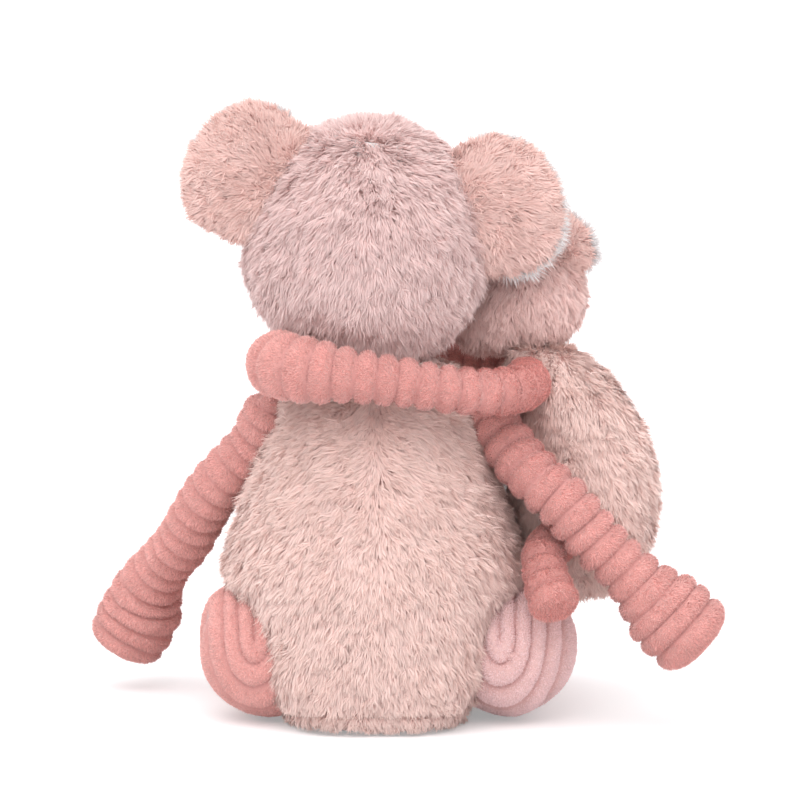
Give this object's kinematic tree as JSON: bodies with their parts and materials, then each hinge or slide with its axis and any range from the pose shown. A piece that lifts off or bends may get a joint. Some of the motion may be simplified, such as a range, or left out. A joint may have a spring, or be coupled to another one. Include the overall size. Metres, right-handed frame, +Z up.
{
  "type": "plush koala with cub",
  "caption": "Seated plush koala with a cub hugging its neck; furry head, body and ears, ribbed plush arms and legs, all sewn limbs and heads turn",
  "frame": {"origin": "middle of the parent's flat base panel, on the table", "axes": "+Z up; both koalas face +Y, so their backs are towards -Y; the cub is on the +X side"},
  "size_m": [0.3256, 0.189, 0.3193],
  "materials": {
    "fur": "long-pile dusty pink fur",
    "ear_fur": "long-pile pink fur",
    "ribbed_plush": "wide-rib short-pile salmon plush",
    "ear_lining": "white pile",
    "stuffing": "polyester fibre",
    "pellet_bag": "woven bag of plastic pellets",
    "eye": "gloss black",
    "nose": "matt dark brown",
    "washer": "clear matt"
  },
  "bodies": {
    "body": {"base_panel": "fur", "pellet_bag": "pellet_bag", "body_cover": "fur", "body_stuffing": "stuffing", "cub_body_cover": "fur", "cub_body_stuffing": "stuffing"},
    "head": {"head_cover": "fur", "head_stuffing": "stuffing", "nose": "nose", "left_eye": "eye", "left_eye_washer": "washer", "right_eye": "eye", "right_eye_washer": "washer"},
    "cub_head": {"cub_head_cover": "fur", "cub_head_stuffing": "stuffing", "cub_nose": "nose", "cub_left_eye": "eye", "cub_left_eye_washer": "washer", "cub_right_eye": "eye", "cub_right_eye_washer": "washer"},
    "left_ear": {"left_ear_back": "ear_fur", "left_ear_lining": "ear_lining"},
    "left_arm": {"left_arm_cover": "ribbed_plush", "left_arm_stuffing": "stuffing"},
    "left_leg": {"left_leg_cover": "ribbed_plush", "left_leg_stuffing": "stuffing"},
    "right_ear": {"right_ear_back": "ear_fur", "right_ear_lining": "ear_lining"},
    "right_arm": {"right_arm_cover": "ribbed_plush", "right_arm_stuffing": "stuffing"},
    "right_leg": {"right_leg_cover": "ribbed_plush", "right_leg_stuffing": "stuffing"},
    "cub_left_ear": {"cub_left_ear_back": "ear_fur", "cub_left_ear_lining": "ear_lining"},
    "cub_left_arm": {"cub_left_arm_cover": "ribbed_plush", "cub_left_arm_stuffing": "stuffing"},
    "cub_left_leg": {"cub_left_leg_cover": "ribbed_plush", "cub_left_leg_stuffing": "stuffing"},
    "cub_right_ear": {"cub_right_ear_back": "ear_fur", "cub_right_ear_lining": "ear_lining"},
    "cub_right_arm": {"cub_right_arm_cover": "ribbed_plush", "cub_right_arm_stuffing": "stuffing"},
    "cub_right_leg": {"cub_right_leg_cover": "ribbed_plush", "cub_right_leg_stuffing": "stuffing"}
  },
  "joints": [
    {"name": "head_turn", "type": "hinge", "parent": "body", "child": "head", "pos_m": [-0.004, 0.004, 0.188], "axis": [0, 0, 1], "range_deg": [-20, 0], "stiffness_Nm_per_rad": 0.6},
    {"name": "left_ear_fold", "type": "hinge", "parent": "head", "child": "left_ear", "pos_m": [-0.06032, 0.004, 0.28077], "axis": [-0.3258, 0, -0.9454], "range_deg": [-15, 15], "stiffness_Nm_per_rad": 0.05},
    {"name": "right_ear_fold", "type": "hinge", "parent": "head", "child": "right_ear", "pos_m": [0.05805, 0.004, 0.26543], "axis": [-0.1219, 0, 0.9925], "range_deg": [-15, 15], "stiffness_Nm_per_rad": 0.05},
    {"name": "left_arm_lift", "type": "hinge", "parent": "body", "child": "left_arm", "pos_m": [-0.056, -0.002, 0.157], "axis": [0, 1, 0], "range_deg": [0, 60], "stiffness_Nm_per_rad": 0.3},
    {"name": "right_arm_swing", "type": "hinge", "parent": "body", "child": "right_arm", "pos_m": [0.06, -0.008, 0.155], "axis": [-1, 0, 0], "range_deg": [0, 30], "stiffness_Nm_per_rad": 0.3},
    {"name": "left_leg_spread", "type": "hinge", "parent": "body", "child": "left_leg", "pos_m": [-0.056, -0.008, 0.0375], "axis": [0, 0, 1], "range_deg": [0, 12], "stiffness_Nm_per_rad": 0.5},
    {"name": "right_leg_spread", "type": "hinge", "parent": "body", "child": "right_leg", "pos_m": [0.07, -0.008, 0.0375], "axis": [0, 0, -1], "range_deg": [0, 20], "stiffness_Nm_per_rad": 0.5},
    {"name": "cub_head_turn", "type": "hinge", "parent": "body", "child": "cub_head", "pos_m": [0.078, 0.045, 0.216], "axis": [0, 0, 1], "range_deg": [-15, 4], "stiffness_Nm_per_rad": 0.2},
    {"name": "cub_left_ear_fold", "type": "hinge", "parent": "cub_head", "child": "cub_left_ear", "pos_m": [0.05531, 0.05108, 0.24219], "axis": [-0.7063, 0.1891, -0.6822], "range_deg": [-10, 10], "stiffness_Nm_per_rad": 0.02},
    {"name": "cub_right_ear_fold", "type": "hinge", "parent": "cub_head", "child": "cub_right_ear", "pos_m": [0.10069, 0.03892, 0.24219], "axis": [-0.7063, 0.1891, 0.6822], "range_deg": [-15, 15], "stiffness_Nm_per_rad": 0.02},
    {"name": "cub_left_arm_open", "type": "hinge", "parent": "body", "child": "cub_left_arm", "pos_m": [0.078, 0.004, 0.177], "axis": [0, 0, 1], "range_deg": [0, 50], "stiffness_Nm_per_rad": 0.3},
    {"name": "cub_right_arm_open", "type": "hinge", "parent": "body", "child": "cub_right_arm", "pos_m": [0.084, 0.044, 0.169], "axis": [0, 0, -1], "range_deg": [0, 50], "stiffness_Nm_per_rad": 0.2},
    {"name": "cub_left_leg_swing", "type": "hinge", "parent": "body", "child": "cub_left_leg", "pos_m": [0.094, -0.006, 0.094], "axis": [0.6668, -0.3329, 0.6668], "range_deg": [0, 20], "stiffness_Nm_per_rad": 0.08},
    {"name": "cub_right_leg_open", "type": "hinge", "parent": "body", "child": "cub_right_leg", "pos_m": [0.106, 0.046, 0.085], "axis": [0, 0, -1], "range_deg": [0, 25], "stiffness_Nm_per_rad": 0.08}
  ]
}
